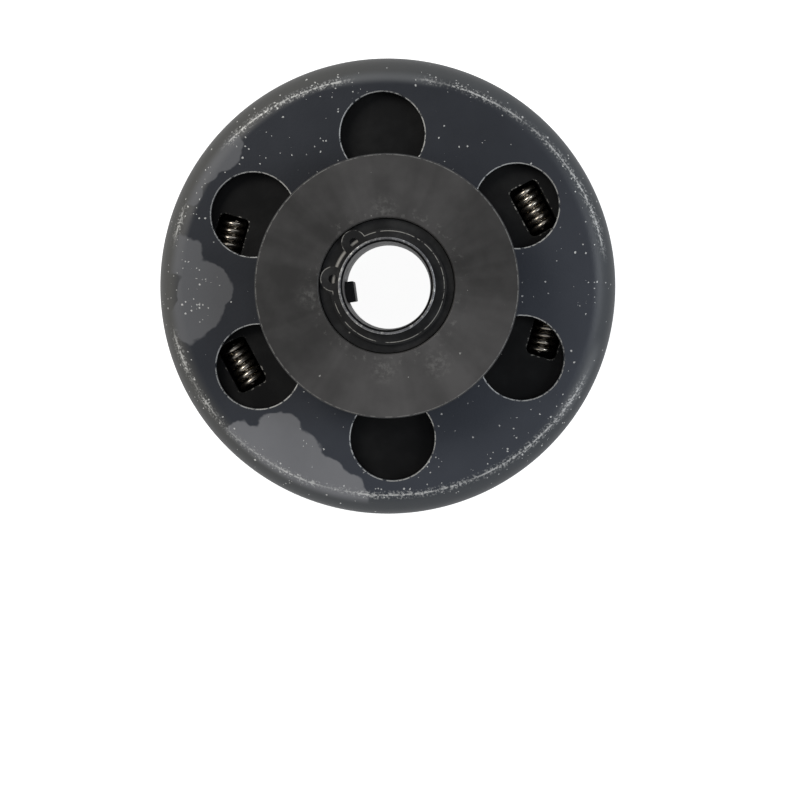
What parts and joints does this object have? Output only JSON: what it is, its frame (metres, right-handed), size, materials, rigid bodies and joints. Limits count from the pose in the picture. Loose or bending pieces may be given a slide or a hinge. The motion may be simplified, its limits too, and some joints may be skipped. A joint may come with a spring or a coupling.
{
  "type": "centrifugal clutch",
  "caption": "Centrifugal clutch: keyed hub and driver turn sprung laminated shoes inside a holed steel drum that carries a V-belt pulley",
  "frame": {"origin": "middle of the hub sleeve's lower end face, on which the clutch stands", "axes": "+Z runs along the clutch's axis from the driver end to the pulley end; +X points to the right of the picture's view from above and +Y to its top"},
  "size_m": [0.107, 0.107, 0.055],
  "materials": {
    "hub_steel": "turned, lightly oiled",
    "blackened_steel": "black oxide, oiled",
    "bush_bronze": "sintered bronze, oil filled",
    "pulley_steel": "black oxide over turned steel, satin",
    "drum_steel": "blue-black oxide with duller grey patches, oiled",
    "plate_steel": "black oxide, oiled",
    "rivet_steel": "black oxide",
    "spring_steel": "oiled spring wire"
  },
  "bodies": {
    "hub": {"hub_sleeve": "hub_steel", "drive_key": "blackened_steel", "driver": "blackened_steel", "driver_washer": "hub_steel", "circlip_washer": "blackened_steel", "circlip": "blackened_steel", "spring_right_front": "spring_steel", "spring_right_back": "spring_steel", "spring_left_front": "spring_steel", "spring_left_back": "spring_steel"},
    "output": {"drum": "drum_steel", "pulley": "pulley_steel", "bush": "bush_bronze"},
    "shoe_a": {"shoe_a_plate_1": "plate_steel", "shoe_a_plate_2": "plate_steel", "shoe_a_plate_3": "plate_steel", "shoe_a_filler_1": "plate_steel", "shoe_a_filler_2": "plate_steel", "shoe_a_filler_3": "plate_steel", "shoe_a_rivets": "rivet_steel"},
    "shoe_b": {"shoe_b_plate_1": "plate_steel", "shoe_b_plate_2": "plate_steel", "shoe_b_plate_3": "plate_steel", "shoe_b_filler_1": "plate_steel", "shoe_b_filler_2": "plate_steel", "shoe_b_filler_3": "plate_steel", "shoe_b_rivets": "rivet_steel"}
  },
  "joints": [
    {"name": "drum_spin", "type": "hinge", "parent": "hub", "child": "output", "pos_m": [0, 0, 0.04], "axis": [0, 0, 1], "continuous": true},
    {"name": "shoe_a_slide", "type": "slide", "parent": "hub", "child": "shoe_a", "axis": [-0.108, 0.9942, 0], "range_m": [0, 0.0012], "stiffness_N_per_m": 4000, "springref_m": -0.001, "deforming": ["spring_right_front", "spring_right_back", "spring_left_front", "spring_left_back"]},
    {"name": "shoe_b_slide", "type": "slide", "parent": "hub", "child": "shoe_b", "axis": [0.108, -0.9942, 0], "range_m": [0, 0.0012], "stiffness_N_per_m": 4000, "springref_m": -0.001}
  ],
  "couplings": [
    {"joint": "shoe_b_slide", "follows": "shoe_a_slide", "ratio": 1}
  ]
}
